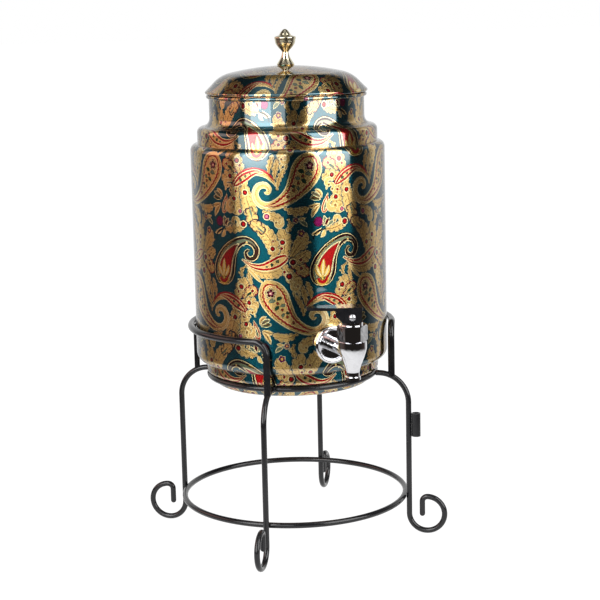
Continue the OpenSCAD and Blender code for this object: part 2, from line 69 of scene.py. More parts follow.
def make_camera():
    ct, st = math.cos(TILT), math.sin(TILT)
    cy, sy = math.cos(YAW), math.sin(YAW)
    ahead = Vector((sy * ct, cy * ct, -st))
    above = Vector((sy * st, cy * st, ct))
    right = Vector((cy, -sy, 0))
    across = math.cos(ROLL) * right - math.sin(ROLL) * above
    upward = math.sin(ROLL) * right + math.cos(ROLL) * above
    spin = Matrix.Rotation(VIEW, 3, "Z")
    m = Matrix((spin @ across, spin @ upward, spin @ -ahead)).transposed().to_4x4()
    m.translation = spin @ Vector((0, -CAMERA_OUT, CAMERA_UP))
    cam = put("camera", bpy.data.cameras.new("camera"))
    cam.data.sensor_width = SENSOR
    cam.data.lens = LENS
    cam.data.clip_start, cam.data.clip_end = 0.05, 50
    cam.matrix_world = m
    scene.camera = cam


make_camera()


# ---- the print's drawing, in millimetres
POT_R = 85.0
REPEATS = 6  # of the print, round the pot
PITCH = 89.0118  # the width of one repeat
GLIDE = 106.5  # each row is the one above, mirrored and dropped by this
AXIS = 1.0  # mirrored x is AXIS - x

INK = {
    "teal": "#0f5360", "deep": "#08333f", "gold": "#e4c078", "ochre": "#7d4a20", "cream": "#f6e4ae",
    "red": "#b01c1c", "wine": "#560d15", "black": "#110a0b", "sage": "#7a876c", "green": "#2a5035",
    "plum": "#7a1650", "pink": "#d2778a", "sun": "#eac45c", "rust": "#a24327", "olive": "#35301d",
}
INKS = sorted(INK)
RED_EYE, PLUM_EYE = ("cream", "wine", "red"), ("cream", "plum", "pink")
FINEST = 0.02  # the least half width that a band is drawn with


def travel(path):
    """How far along a path each of its points is."""
    return np.concatenate([[0], np.cumsum(np.hypot(*np.diff(path[:, :2], axis=0).T))])


def curve(points, n):
    """A smooth line through points, as n evenly stepped samples."""
    p = np.asarray(points, float)
    p = np.vstack([2 * p[0] - p[1], p, 2 * p[-1] - p[-2]])
    t = np.linspace(0, 1, 24, endpoint=False)[:, None]
    out = []
    for a, b, c, d in zip(p[:-3], p[1:-2], p[2:-1], p[3:]):
        out.append(0.5 * (2 * b + (c - a) * t + (2 * a - 5 * b + 4 * c - d) * t ** 2
                          + (3 * b - a - 3 * c + d) * t ** 3))
    q = np.vstack(out + [p[-2:-1]])
    s = travel(q)
    u = np.linspace(0, s[-1], n)
    return np.stack([np.interp(u, s, q[:, k]) for k in range(q.shape[1])], 1)


def units(d):
    """Directions as unit vectors, and the ones to their left."""
    d = d / np.maximum(np.hypot(d[:, 0], d[:, 1])[:, None], 1e-9)
    return d, np.stack([-d[:, 1], d[:, 0]], 1)


def ways(path):
    """The same for a path, at each of its points."""
    return units(np.gradient(path[:, :2], axis=0))


def polar(centre, r, a):
    return np.stack([centre[0] + r * np.cos(a), centre[1] + r * np.sin(a)], 1)


def blade(root, tip, n):
    """Root, way to the tip, length, unit way to the left, and n eased steps from 0 to 1."""
    root = np.asarray(root, float)
    d = np.asarray(tip, float) - root
    length = np.hypot(*d)
    u = d / length
    return root, d, length, np.array([-u[1], u[0]]), 0.5 - 0.5 * np.cos(np.pi * np.linspace(0, 1, n))


class Sheet:
    """Shapes as (outline, ink), each drawn over those before it; stations are (x, y, half width)."""

    def __init__(self):
        self.shapes = []

    def add(self, poly, ink):
        poly = np.asarray(poly, float)
        if len(poly) >= 3:
            self.shapes.append((poly, ink))

    def band(self, stations, ink, inset=0.0, share=1.0, n=60, lobes=0, depth=0.0):
        """A band along a line, drawn smaller by inset, or by a share of its half width where that is less."""
        c = curve(stations, n)
        _, nrm = ways(c)
        s = travel(c)
        w = np.maximum(c[:, 2], 0)
        w = w - np.minimum(inset, share * w)
        keep = (s >= inset - 1e-9) & ((w > FINEST) | (s == 0))
        if keep.sum() < 3:
            return
        if lobes:
            wave = depth * np.abs(np.sin(np.pi * lobes * s / s[-1])) - depth * 0.5
            w = np.maximum(FINEST, w + wave * np.minimum(1, w / 2.0))
        first = np.argmax(keep)
        if inset > 0 and first > 0:
            ramp = np.clip((s - s[first]) / max(inset, 0.4), 0, 1)
            w = w * np.sqrt(np.clip(2 * ramp - ramp ** 2, 0, 1))
        left = (c[:, :2] + nrm * w[:, None])[keep]
        right = (c[:, :2] - nrm * w[:, None])[keep]
        self.add(np.vstack([left, right[::-1]]), ink)

    def nest(self, stations, n, rings, **scallop):
        """Bands one inside another, as (ink, inset, share)."""
        for ink, inset, share in rings:
            self.band(stations, ink, inset, share, n, **scallop)

    def stripe(self, stations, ink, share, width, t0=0.0, t1=1.0, n=60):
        """A line of even width, offset from a band's middle by a share of its half width."""
        c = curve(stations, n)
        _, nrm = ways(c)
        mid = c[:, :2] + nrm * (c[:, 2] * share)[:, None]
        i0, i1 = int(t0 * (n - 1)), int(t1 * (n - 1)) + 1
        m, v = mid[i0:i1], nrm[i0:i1]
        t = np.linspace(0, 1, len(m))
        w = 0.5 * width * np.minimum(1, np.minimum(t, 1 - t) * 8 + 0.05)
        self.add(np.vstack([m + v * w[:, None], (m - v * w[:, None])[::-1]]), ink)

    def along(self, stations, share, count, t0, t1, n=160):
        """Points along a band, each with the ways along and across it."""
        c = curve(stations, n)
        d, nrm = ways(c)
        for t in np.linspace(t0, t1, count):
            i = int(t * (n - 1))
            yield c[i, :2] + nrm[i] * c[i, 2] * share, d[i], nrm[i]

    def strokes(self, stations, ink, share, length, width, count, t0, t1, slant):
        for p, d, nrm in self.along(stations, share, count, t0, t1):
            a = nrm * math.cos(slant) + d * math.sin(slant)
            b = np.array([-a[1], a[0]])
            self.add([p - a * length / 2, p + b * width / 2, p + a * length / 2, p - b * width / 2], ink)

    def dots(self, stations, ink, share, r, count, t0, t1):
        for p, *_ in self.along(stations, share, count, t0, t1):
            self.dot(p, r, ink, 8)

    def dot(self, centre, r, ink, n=14):
        self.add(polar(centre, r, np.linspace(0, 2 * np.pi, n, endpoint=False)), ink)

    def eyes(self, spots, inks=RED_EYE):
        for x, y, r in spots:
            for grow, ink in zip((1.95, 1.5, 0.85), inks):
                self.dot((x, y), r * grow, ink)

    def rosette(self, centre, r, petals, dip, ink, turn=0.0, n=8):
        a = np.linspace(0, 2 * np.pi, petals * n, endpoint=False)
        q = r * (1 - dip + dip * np.abs(np.cos(petals * a / 2)) ** 0.7)
        self.add(polar(centre, q, a + turn), ink)

    def lens(self, mid, across, w, ink):
        """The outline w to both sides of a line, closed to a point at its ends."""
        w = np.maximum(0, w)
        w[0] = w[-1] = 0
        out = across * w[:, None]
        self.add(np.vstack([mid + out, (mid - out)[::-1][1:-1]]), ink)

    def leaf(self, root, tip, bend, half, ink, inset=0.0, n=14):
        """A pointed leaf that bows to its left by bend."""
        root, d, length, left, t = blade(root, tip, n)
        gap = inset / length * 1.6
        t = gap + (1 - 2 * gap) * t
        mid = root + np.outer(t, d) + np.outer(4 * t * (1 - t) * bend, left)
        _, across = units(d + np.outer(4 * (1 - 2 * t) * bend, left))
        self.lens(mid, across, half * np.power(np.sin(np.pi * np.clip(t, 0, 1)), 0.8) - inset, ink)

    def leaves(self, table, inset, n, vein=False):
        """Leaves with a pale edge, as (root, tip, bend, half width, ink)."""
        for root, tip, bend, half, ink in table:
            self.leaf(root, tip, bend, half, "cream", n=n)
            self.leaf(root, tip, bend, half, ink, inset, n)
            if vein:
                self.leaf(root, tip, bend, 0.4, "ochre", n=12)

    def drop(self, tip, end, half, ink, inset=0.0):
        """A drop with its point at tip and its round at end."""
        tip, d, length, left, t = blade(tip, end, 26)
        a, b = inset * 2.2 / length, 1 - inset / length
        t = a + (b - a) * t
        w = half * 1.42 * np.power(t, 1.1) * np.sqrt(np.clip(1 - t, 0, 1)) * 1.35 - inset
        self.lens(tip + np.outer(t, d), left, w, ink)

    def hook(self, centre, r, start, sweep, half, eye="ochre"):
        """A comma: a hook that winds in to a round end."""
        t = np.linspace(0, 1, 9)
        spine = polar(centre, r * (1 - 0.62 * t), np.radians(start + sweep * t))
        w = half * (0.15 + 0.85 * np.sin(np.pi * np.clip(0.08 + 0.75 * t, 0, 1)))
        for rim, ink in ((0, "cream"), (0.5, "gold")):
            self.band(np.column_stack([spine, np.maximum(0.05, w - rim)]), ink, n=26)
            self.dot(spine[-1], half * 0.95 - rim, ink, 12)
        self.dot(spine[-1], half * 0.42, eye, 10)

    def oval(self, centre, way, a, b, ink):
        n = 12 if max(a, b) > 1.4 else 8
        t = np.linspace(0, 2 * np.pi, n, endpoint=False)
        self.add(centre + np.outer(a * np.cos(t), way) + np.outer(b * np.sin(t), (-way[1], way[0])), ink)

    def acanthus(self, lobes, *stations, edge=None, sides=(1, -1), lean=0.75):
        """An acanthus leaf: overlapping round lobes along a spine, with a pale rim and a vein."""
        st = np.asarray(stations, float)
        c = curve(st, 80)
        d, nrm = ways(c)
        fat = 0.6 * np.hypot(*np.gradient(c[:, :2], axis=0).T).sum() / lobes
        lobe = []
        for t in np.linspace(0.05, 0.9, lobes):
            i = int(t * 79)
            reach = max(c[i, 2] * 0.93, 0.9)
            for k in sides:
                way = nrm[i] * k * math.cos(lean) + d[i] * math.sin(lean)
                lobe.append((c[i, :2] + way * reach * 0.62, way, reach * 0.62, min(fat, reach * 0.8)))
        lobe.append((c[-1, :2], d[-1], max(1.2, c[-1, 2]), max(0.9, 0.75 * c[-1, 2])))
        rims = ((1.35, "deep"), (0.9, edge), (0.2, "cream")) if edge else ((1.0, "deep"), (0.35, "cream"))
        for grow, ink in rims:
            for m, way, p, q in lobe:
                self.oval(m, way, p + grow, q + grow, ink)
        self.band(st * (1, 1, 0.6), "gold", n=24)
        for m, way, p, q in lobe:
            self.oval(m, way, p, q, "ochre")
            self.oval(m + way * 0.14, way, p - 0.3, q - 0.4, "gold")
        self.band(st * (1, 1, 0.34), "gold", n=24)
        self.stripe(st, "ochre", 0, 0.5, 0.04, 0.92, 24)

    def pod(self, stations, seeds):
        """A pale field with flowers, inside a red line."""
        st = np.asarray(stations, float)
        self.band(st + (0, 0, 0.7), "cream", n=50)
        self.nest(st, 50, (("wine", 0, 0), ("red", 0.2, 0.2), ("cream", 1.9, 0.72), ("gold", 2.3, 0.86)))
        for x, y, r in seeds:
            self.rosette((x, y), r, 5, 0.3, "olive", 0.4, 6)
            self.rosette((x, y), r * 0.75, 5, 0.35, "green", 0.4, 6)
            self.dot((x, y), r * 0.3, "sage", 8)


def left_sheath(s):
    """Gold leaves about the arch at the left of the pale curl."""
    s.acanthus(5, (-40, 30, 2.5), (-42.5, 37, 6), (-45.5, 42.5, 6.2), (-49, 47, 3.5))
    s.acanthus(3, (-47.5, 32.5, 2), (-52, 37, 5.2), (-55.5, 40, 3.4), edge="red")
    s.leaf((-49, 35.5), (-54.5, 38.8), 0.5, 1.1, "green")
    s.acanthus(5, (-44.5, 22, 2), (-47, 14, 5.4), (-47.6, 6, 6), (-45, 0, 3.4))
    s.acanthus(5, (-42, 25, 1.5), (-47.5, 28, 5), (-53, 29, 5.4), (-57.5, 27, 3))
    s.acanthus(7, (-38, 26, 2.5), (-37.6, 17, 5.6), (-35.4, 8, 7), (-33, 1, 5.6), (-31.5, -4, 2.4))
    s.acanthus(3, (-34.5, 2, 2.4), (-32.2, -4, 6), (-30.6, -8.6, 3.6), edge="wine")
    s.leaf((-34.2, 5), (-31.6, -6.5), 0.4, 0.9, "sage")
    s.eyes(((-37.4, 15.8, 1.5), (-48.2, 10.5, 1.4), (-51.6, 29.2, 1.4), (-44.6, 42.4, 1.6),
            (-41.8, 38.4, 0.8), (-46.4, 16.6, 0.8), (-55, 39.4, 0.9)))
    s.eyes([(-42.4, 0, 1.3)], PLUM_EYE)
    s.acanthus(4, (-16.5, 32, 1), (-15.5, 38, 2.6), (-13.2, 45.5, 1.6), lean=1.05)
    s.acanthus(5, (-11.4, 27, 1), (-10.8, 35, 2.8), (-8.6, 42.5, 1.8), lean=1.05)
    s.acanthus(5, (-9.6, 18, 0.8), (-8.2, 26, 2.2), (-4.2, 34, 2), lean=1.05)
    s.hook((-3.2, 37), 3.6, 230, -270, 1.5)
    arch = [(-50, 18, 0.3), (-46, 24.5, 2.6), (-38, 31, 3.6), (-28, 33.5, 3.4), (-19, 31, 2.6),
            (-12.5, 25, 1.4), (-9.5, 19.5, 0.2)]
    s.nest(arch, 60, (("cream", 0, 0), ("gold", 0.5, 0.5)))
    s.stripe(arch, "wine", 0.72, 1.9, 0.03, 0.9)
    s.stripe(arch, "red", 0.7, 2, 0.03, 0.9)
    s.stripe(arch, "ochre", -0.1, 0.4, 0.5, 0.95)
    s.pod([(-48.4, 20.6, 0.1), (-45.4, 23, 2.2), (-40, 27, 3.4), (-34, 30.6, 3), (-27.5, 33, 1.7),
           (-21, 32.6, 0.1)],
          ((-41.4, 26.2, 1.6), (-36.6, 29.4, 1.3), (-32.4, 31.4, 0.9)))
    s.hook((-52.5, 18.5), 4.4, 200, -250, 1.8, "wine")


def pale_boteh(s):
    """Pale, red-scalloped, with a plain curled tail."""
    body = [(22, 49.5, 0.05), (20.8, 46, 6.6), (18.4, 40.5, 11.3), (15, 33.2, 12.9), (9.6, 23.8, 10.9),
            (2, 14.2, 7.2), (-8, 7.2, 4.8), (-17.4, 4.6, 3.7), (-25, 7.4, 3.3), (-28.3, 14.2, 3.1),
            (-25.8, 20.6, 3), (-20.2, 22.4, 2.7), (-16.2, 19.2, 2.3), (-17.6, 15.6, 1.7), (-20.4, 16.2, 0.5)]
    s.nest(body, 120, (("cream", 0, 0), ("gold", 0.75, 0.3)))
    s.strokes(body, "ochre", 0.83, 1.5, 0.8, 26, 0.06, 0.44, 0.5)
    s.strokes(body, "ochre", -0.83, 1.5, 0.8, 26, 0.06, 0.44, -0.5)
    s.dots(body, "wine", 0.8, 0.5, 9, 0.07, 0.4)
    s.dots(body, "green", -0.8, 0.55, 9, 0.08, 0.4)
    s.stripe(body, "cream", 0.35, 0.7, 0.56, 0.97)
    s.dots(body, "ochre", -0.1, 0.32, 22, 0.57, 0.96)
    field = [(21, 46, 0.05), (20.2, 43.6, 4.6), (18.4, 40, 7.8), (15, 33.2, 9.4), (9.6, 23.8, 7.5),
             (2, 14.2, 4.5), (-8, 7.4, 2.6), (-15, 5, 1.3), (-21.5, 5.2, 0.1)]
    s.nest(field, 110, (("wine", 0, 0), ("red", 0.4, 0.25), ("cream", 1.7, 0.66)), lobes=18, depth=0.9)
    s.band(field, "gold", 2.2, 0.84, 110, lobes=18, depth=0.8)
    for r, petals, dip, ink in (
            (5.4, 5, 0.3, "cream"), (4.9, 5, 0.32, "black"), (4.3, 5, 0.36, "cream"), (3.8, 5, 0.4, "wine"),
            (2.3, 6, 0.3, "black"), (1.8, 6, 0.35, "pink"), (0.8, 6, 0.2, "cream")):
        s.rosette((18, 37.6), r, petals, dip, ink, 0.35)
    for root, tip, bend, half, ink in (
            ((13.5, 31), (20.2, 29.8), 0.8, 1.5, "sage"), ((13, 31.5), (8.2, 34), -0.6, 1.4, "green"),
            ((10.5, 26.8), (14.6, 22.9), 0.6, 1.3, "green"), ((10, 26.4), (5.4, 27.4), -0.6, 1.3, "sage"),
            ((6.8, 21), (8.4, 16.9), 0.4, 1, "sage"), ((6, 20.4), (2.2, 20.6), -0.4, 1, "green")):
        s.leaf(root, tip, bend, half + 0.45, "black")
        s.leaf(root, tip, bend, half, ink)
    for bud in ((12.2, 29.2), (8.4, 23.6), (4.4, 17.6), (-0.6, 12.6)):
        s.rosette(bud, 1.6, 5, 0.3, "black", n=6)
        s.rosette(bud, 1.1, 5, 0.3, "rust", n=6)


def right_sheath(s):
    """The leaves about the red pod at the right of the dark curl."""
    s.acanthus(9, (-37, -45.5, 1), (-30, -49.5, 3.8), (-22, -51.5, 5.4), (-13, -50.5, 5.8), (-6, -46, 3.4),
               sides=(-1,))
    s.acanthus(5, (0.5, -39, 2), (4.5, -33, 5.6), (9, -27, 6), (12.5, -21, 3))
    s.acanthus(5, (-5, -45, 2), (-1, -52.5, 5.6), (3.6, -58, 5.2), (7, -61.5, 2.4))
    s.acanthus(3, (2.4, -44.6, 2), (8.2, -48, 5.2), (12.4, -51, 3.4), edge="red")
    s.acanthus(4, (0.5, -41.5, 2), (8, -40, 5.4), (14.4, -36.5, 3.4))
    s.acanthus(6, (-6.5, -42, 3), (-4.6, -32, 5.6), (-4, -24, 5.8), (-6.5, -17.5, 3.4))
    s.acanthus(7, (-12.6, -41, 3), (-14, -30, 6.4), (-17.5, -21.5, 6.6), (-22.5, -15.8, 5), (-26, -13, 2.4))
    s.acanthus(3, (-22, -16.5, 2), (-26.4, -13, 5), (-29.8, -10.6, 3), edge="wine")
    s.leaf((-20.5, -17.8), (-28, -12), 0.4, 0.9, "sage")
    s.rosette((9.8, -18.6), 3.5, 5, 0.3, "cream")
    s.rosette((9.8, -18.6), 3, 5, 0.32, "plum")
    s.rosette((9.8, -18.6), 1.3, 5, 0.3, "sun", n=6)
    s.eyes(((-14.4, -31, 1.4), (-6, -25.7, 1.5), (-6.9, -30.8, 0.9), (2.4, -42.6, 1.7), (-1, -54.5, 1.8),
            (-5, -50.8, 0.9), (9, -40.6, 0.9), (9.2, -47.8, 1), (-13.8, -24.6, 0.7)))
    s.hook((4.6, -63), 4.6, 100, 260, 1.9)
    s.acanthus(3, (-38, -46, 0.8), (-42, -49, 1.9), (-42.5, -54, 1.4), lean=1.05)
    s.acanthus(4, (-36, -49, 1), (-35.5, -55, 2.2), (-34, -60.5, 1.6), lean=1.05)
    stalk = [(-37, -47, 0.6), (-32, -52.5, 1.6), (-27.5, -57, 1.5), (-23, -60.5, 0.4)]
    s.nest(stalk, 24, (("cream", 0, 0), ("gold", 0.5, 0.5)))
    s.pod([(-42, -40.5, 0.1), (-33, -45.6, 1.6), (-24, -46.8, 2.8), (-15, -44.4, 4.1), (-8, -40.8, 4.2),
           (-3.4, -38.4, 2.6), (-1.8, -37.6, 0.1)],
          ((-10.6, -41.6, 1.7), (-15.4, -44.6, 1.6), (-19.8, -46.2, 1.1)))


def dark_boteh(s):
    """Dark, red-hearted, with a striped curl and a cup of flames in its heart."""
    body = [(26.6, -65, 0.05), (26.7, -62.6, 6.2), (27, -58, 10.4), (27.9, -51, 12.4), (30.6, -42.6, 11.2),
            (35.4, -34.2, 8.4), (42, -27.6, 5.8), (50, -24.4, 4.4), (57, -26.6, 3.7), (60.8, -32.6, 3.3),
            (58.6, -38.8, 3), (53.2, -39.8, 2.6), (50.6, -35.8, 2.1), (52.6, -32.6, 1.4), (54.6, -33.8, 0.4)]
    s.nest(body, 130, (("black", 0, 0), ("cream", 0.8, 0.22), ("black", 1.5, 0.42), ("wine", 2.7, 0.74),
                       ("olive", 3.1, 0.84)))
    s.band([(x, y, w if k < 9 else 0.1) for k, (x, y, w) in enumerate(body)], "sage", 3.4, 0.86, 130)
    s.strokes(body, "cream", -0.64, 1.9, 0.55, 26, 0.06, 0.46, 0.35)
    s.strokes(body, "sun", 0.64, 1.7, 0.55, 26, 0.06, 0.46, -0.35)
    core = [(27.2, -60, 0.05), (27.6, -57, 5.2), (28.6, -51, 7.2), (31, -43.5, 6.4), (35.2, -36.2, 4.4),
            (40.6, -30.2, 2), (45, -27.2, 0.1)]
    s.band(core, "cream", n=80, lobes=34, depth=1.3)
    s.nest(core, 80, (("wine", 0.7, 1), ("red", 1.2, 1)))
    s.band([(x - 1.2, y - 1, w * 0.66) for x, y, w in core[:3]] + [(30.4, -46, 0.1)], "sage",
           n=60, lobes=12, depth=0.7)
    for root, tip, bend, half in (
            ((27.2, -56.8), (21.8, -45), 1, 2), ((28, -56.8), (33.4, -46), -1, 2),
            ((27.6, -57), (28.8, -40.6), 0.4, 2.1)):
        s.leaf(root, tip, bend, half + 0.45, "rust", n=16)
        s.leaf(root, tip, bend, half, "sun", n=16)
        s.leaf(root, tip, bend, half * 0.4, "cream", n=12)
    middle = 27.4

    def fan(angles, height, wide, high):
        return [(middle + wide * math.cos(a), height + high * math.sin(a)) for a in angles]

    teeth = np.radians(np.linspace(188, 362, 25))
    s.add([fan([a], -57.2, r, r)[0] for a, r in zip(teeth, (5.2, 7) * 13)] + [(middle, -55)], "sun")
    bowl = np.radians(np.linspace(184, 366, 18))
    s.add(fan(bowl, -57, 4.9, 4.9) + fan(bowl[::-1], -56.2, 2.9, 2.6), "red")
    s.add(fan(bowl, -56.2, 2.7, 2.4), "green")
    s.rosette((middle, -57.2), 1.2, 5, 0.3, "sun")


def drop_sprig(s):
    """The red drop between the rows, with its leaves and commas."""
    s.leaves((((27, 9), (17.5, 10.5), -1, 2.4, "green"), ((26.5, 6), (16, 4), 1.2, 2.4, "gold"),
              ((26.5, 4.5), (19, -6), -1.4, 2.3, "gold"), ((28, 10.5), (22, 18), -1.2, 2.2, "gold"),
              ((27.4, 10), (18.6, 15.2), -1, 2.1, "sage")), 0.55, 18, vein=True)
    for inset, ink in ((0, "cream"), (0.55, "red"), (1.6, "cream"), (2.3, "sage")):
        s.drop((33.6, 14.6), (29.4, -2.4), 4.5, ink, inset)
    s.hook((38.2, 3.6), 5.6, 100, 255, 2.4)
    s.hook((34.6, 22.6), 4.2, 20, 250, 1.9)


def plum_sprig(s):
    """Plum disc, heart leaves and a gold comma over the dark boteh."""
    s.dot((24.6, -9.4), 4.3, "wine", 20)
    s.dot((24.6, -9.4), 3.7, "plum", 20)
    s.acanthus(5, (31, -15.5, 1), (36.5, -15.8, 3), (42.5, -14.4, 4), (48, -11.6, 3.2))
    s.leaves((((28.6, -13.2), (29.4, -4.4), -1.6, 2.3, "sage"), ((31.4, -14), (35, -6.5), 1.2, 1.8, "wine"),
              ((33, -14.6), (40, -9.4), 1.4, 1.9, "sage"), ((27, -14.4), (18, -19.6), 1.6, 2.1, "gold"),
              ((29.4, -15.2), (26, -22.6), 1.6, 2, "gold")), 0.6, 18)
    s.hook((41, -8.8), 4.4, -60, 250, 1.9)
    s.eyes([(49.2, -10.8, 1.7)])
    s.band([(19.5, -24.5, 0.2), (21.5, -19.5, 0.7), (26, -16.6, 0.8), (31.5, -15.6, 0.2)], "black", n=20)


def tail_stems(s):
    """Stems under the pale boteh's tail, and the loose dots."""
    s.acanthus(5, (-22, 1, 0.8), (-17, -2.4, 3.4), (-12, -4.6, 4.2), (-7.5, -7.6, 3))
    s.acanthus(5, (-4, 3, 0.8), (2, 0.2, 3.2), (8, -0.6, 3.4), (14.5, 1.6, 2.2))
    s.acanthus(3, (-1, -6, 0.8), (1, -11, 2.4), (-1, -15.5, 1.8))
    s.rosette((5.4, -7.4), 2.9, 5, 0.3, "cream")
    s.rosette((5.4, -7.4), 2.4, 5, 0.32, "plum")
    s.dot((5.4, -7.4), 0.8, "sun", 10)
    s.leaves((((8, -8.6), (15, -13.5), 1.2, 1.9, "sage"), ((7.6, -6), (14, -5.4), -0.8, 1.6, "gold")), 0.5, 16)
    s.eyes([(-18.8, -4, 1.6)], PLUM_EYE)
    s.hook((-9.2, -9.4), 4.4, 60, -250, 1.9)
    for gold, cream in (((17, -26), (14.5, -30)), ((44, -52), (43, -58)), ((-37, -26), (-40, -29))):
        s.dot(gold, 0.9, "gold", 10)
        s.dot(cream, 0.7, "cream", 10)


def half_tile():
    """One row's width of the print: two curled botehs, their sheaths and the sprigs between."""
    s = Sheet()
    for draw in (left_sheath, pale_boteh, right_sheath, dark_boteh, drop_sprig, plum_sprig, tail_stems):
        draw(s)
    return s.shapes


def place(shapes, box, top):
    """Every copy of the row's shapes that touches box = (x0, y0, x1, y1); top is the first row's height."""
    x0, y0, x1, y1 = box
    out = []
    for poly, ink in shapes:
        for row in range(-4, 5):
            for col in range(-4, 5):
                q = poly.copy()
                if row % 2:
                    q[:, 0] = AXIS - q[:, 0]
                q += (col * PITCH, top - row * GLIDE)
                lo, hi = q.min(0), q.max(0)
                if hi[0] > x0 and lo[0] < x1 and hi[1] > y0 and lo[1] < y1:
                    out.append((q, ink))
    return out


TILE = half_tile()


# ---- outlines turned about the axis
class Outline:
    """A run of lines and arcs in (radius, height), in millimetres, with the outside on its right."""

    def __init__(self, parts, at=0.0):
        self.parts = parts
        size = [math.dist(p[1], p[2]) if p[0] == "line" else abs(math.radians(p[4] - p[3])) * p[2] for p in parts]
        self.ends = at + np.concatenate([[0], np.cumsum(size)])

    def point(self, s, side):
        """Radius, height and outward normal at each s; side picks the part where two parts meet."""
        k = np.clip(np.searchsorted(self.ends, side, side="right") - 1, 0, len(self.parts) - 1)
        out = np.zeros((len(s), 4))
        for i, p in enumerate(self.parts):
            m = k == i
            if not m.any():
                continue
            t = np.clip((s[m] - self.ends[i]) / (self.ends[i + 1] - self.ends[i]), 0, 1)
            if p[0] == "line":
                a, b = np.array(p[1:], float)
                d = (b - a) / np.hypot(*(b - a))
                out[m, :2] = a + np.outer(t, b - a)
                out[m, 2:] = d[1], -d[0]
            else:
                _, c, r, a0, a1 = p
                a = np.radians(a0 + (a1 - a0) * t)
                out[m, :2] = polar(c, r, a)
                out[m, 2:] = polar((0, 0), 1 if a1 > a0 else -1, a)
        return out

    def stops(self, turn, step=math.inf):
        """Where rows of points belong: at the joins, every turn degrees of an arc, and every step of a line."""
        rows = [self.ends[0]]
        for i, p in enumerate(self.parts):
            length = self.ends[i + 1] - self.ends[i]
            n = math.ceil(length / step) if p[0] == "line" else math.ceil(abs(p[4] - p[3]) / turn)
            rows += list(np.linspace(self.ends[i], self.ends[i + 1], max(1, n) + 1)[1:])
        return np.array(rows)


def lines(*points):
    return [("line", a, b) for a, b in zip(points, points[1:])]


def arc(c, r, a0, a1):
    return ("arc", c, r, a0, a1)


SHEET = 1  # thickness of the copper
FLOOR_R, FLOOR_LOW = 58, 139  # the floor plate, seen from below inside the foot
WALL_LOW, WALL_HIGH = 167, 345.5  # the straight wall of the body
COVE = math.degrees(math.atan2(12, 1))  # where the shoulder's round meets the neck's cove
# middles of the rounds, from the foot up to the rolled rim
FOOT, STEP, SEAT, BROW = (64.5, 144), (73.5, 152.3), (77, WALL_LOW), (79, WALL_HIGH)
RISE, NECK, RIM = (73.7, 361), (74.7, 373), (68.3, 391.5)


def pot_outside():
    """From the floor plate's edge out, up and over the rim; on the wall, s is the height."""
    below = [
        *lines((FLOOR_R, FLOOR_LOW), (FLOOR_R, 138), (64.5, 138)), arc(FOOT, 6, -90, 0),
        *lines((70.5, 144), (70.5, 148.8), (73.5, 148.8)), arc(STEP, 3.5, -90, 0),
        *lines((77, 152.3), (77, 159)), arc(SEAT, 8, -90, 0),
    ]
    above = [
        *lines((POT_R, WALL_LOW), (POT_R, WALL_HIGH)), arc(BROW, 6, 0, 90),
        *lines((79, 351.5), (78.7, 351.5), (78.7, 361)), arc(RISE, 5, 0, COVE), arc(NECK, 7, COVE + 180, 180),
        *lines((67.7, 373), (67.7, 389.909)), arc(RIM, 1.7, -110.67, 199.76),
    ]
    return Outline(below + above, WALL_LOW - Outline(below).ends[-1])


def pot_inside():
    """From under the rim down the inside and in to the axis, one sheet off the outside."""
    return Outline([
        *lines((66.7, 390.925), (66.7, 373)), arc(NECK, 7 + SHEET, 180, COVE + 180), arc(RISE, 5 - SHEET, COVE, 0),
        *lines((77.7, 361), (77.7, 350.5), (79, 350.5)), arc(BROW, 6 - SHEET, 90, 0),
        *lines((POT_R - SHEET, WALL_HIGH), (POT_R - SHEET, WALL_LOW)), arc(SEAT, 8 - SHEET, 0, -90),
        *lines((77, 160), (76, 160), (76, 152.3)), arc(STEP, 3.5 - SHEET, 0, -90),
        *lines((73.5, 149.8), (69.5, 149.8), (69.5, 144)), arc(FOOT, 6 - SHEET, 0, -53.13),
        *lines((67.5, FLOOR_LOW + SHEET), (0, FLOOR_LOW + SHEET)),
    ])


# ---- cutting the drawing into a mesh
SLACK = 0.09  # mm that the printed lines may be off by, in the mesh


def bends(run):
    """Which points of a run to keep, so that the straight lines between them stay within SLACK of it."""
    last = len(run) - 1
    keep = np.zeros(last + 1, bool)
    keep[[0, last]] = True
    todo = [(0, last)]
    if np.allclose(run[0], run[last]):
        far = int(np.argmax(np.hypot(*(run - run[0]).T)))
        keep[far] = True
        todo = [(0, far), (far, last)]
    while todo:
        a, b = todo.pop()
        if b - a < 2:
            continue
        d = run[b] - run[a]
        size = math.hypot(*d)
        w = run[a + 1:b] - run[a]
        off = np.abs(w[:, 0] * d[1] - w[:, 1] * d[0]) / size if size > 1e-9 else np.hypot(*w.T)
        k = int(np.argmax(off))
        if off[k] > SLACK:
            keep[a + 1 + k] = True
            todo += [(a, a + 1 + k), (a + 1 + k, b)]
    return keep


def thin(poly):
    """A closed outline without the points that lie within SLACK of their neighbours' line."""
    ring = np.vstack([poly, poly[:1]])
    return ring[:-1][bends(ring)[:-1]]


